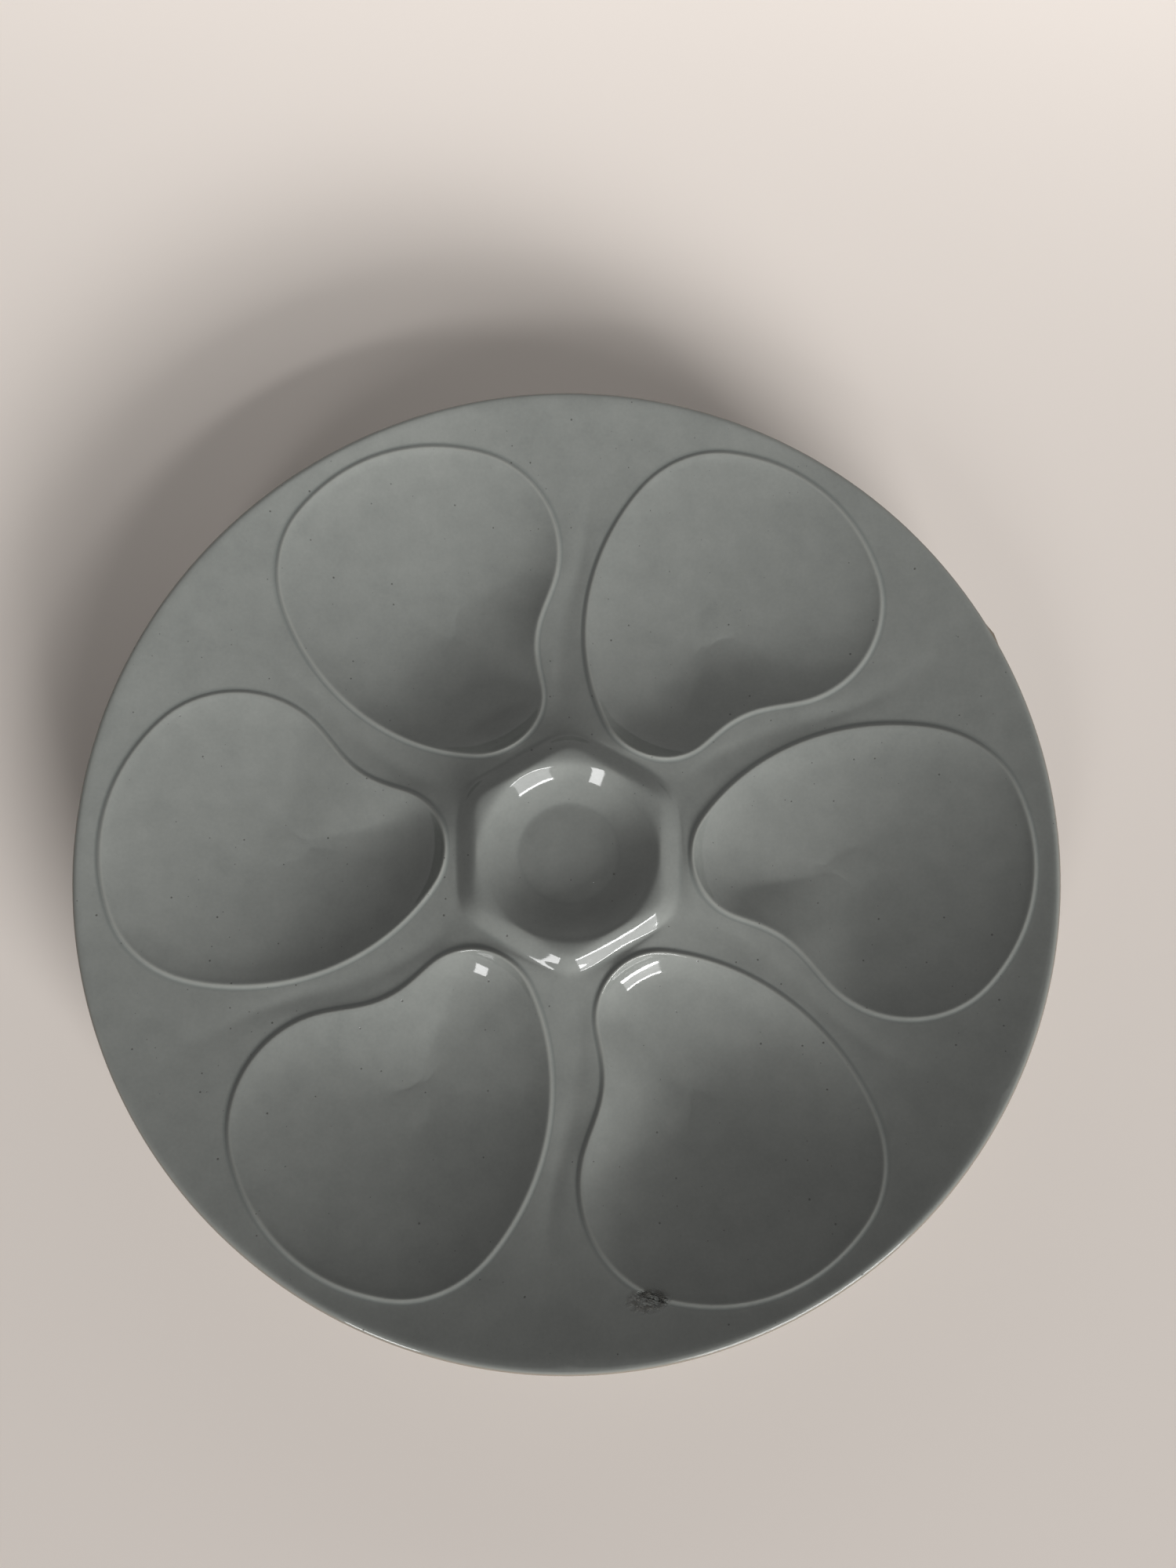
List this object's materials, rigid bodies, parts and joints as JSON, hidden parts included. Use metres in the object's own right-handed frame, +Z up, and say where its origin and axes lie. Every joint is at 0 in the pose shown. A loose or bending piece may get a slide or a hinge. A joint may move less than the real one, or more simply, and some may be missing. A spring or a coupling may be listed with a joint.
{
  "type": "oyster plate",
  "caption": "Round glazed earthenware oyster plate with comma-shaped wells in a pinwheel round a raised boss that holds a round sauce well.",
  "frame": {"origin": "on the table, at the centre of the foot ring's contact face", "axes": "+Z up out of the plate's face, +X along the middle of one oyster well; the wells' notches lie on their clockwise side seen from above"},
  "size_m": [0.245, 0.245, 0.025],
  "materials": {
    "biscuit": "bare fired earthenware, matt",
    "glaze": "glossy celadon glaze"
  },
  "bodies": {
    "root": {"ceramic_body": "biscuit", "glaze_coat": "glaze", "foot_recess_glaze": "glaze"}
  },
  "joints": []
}
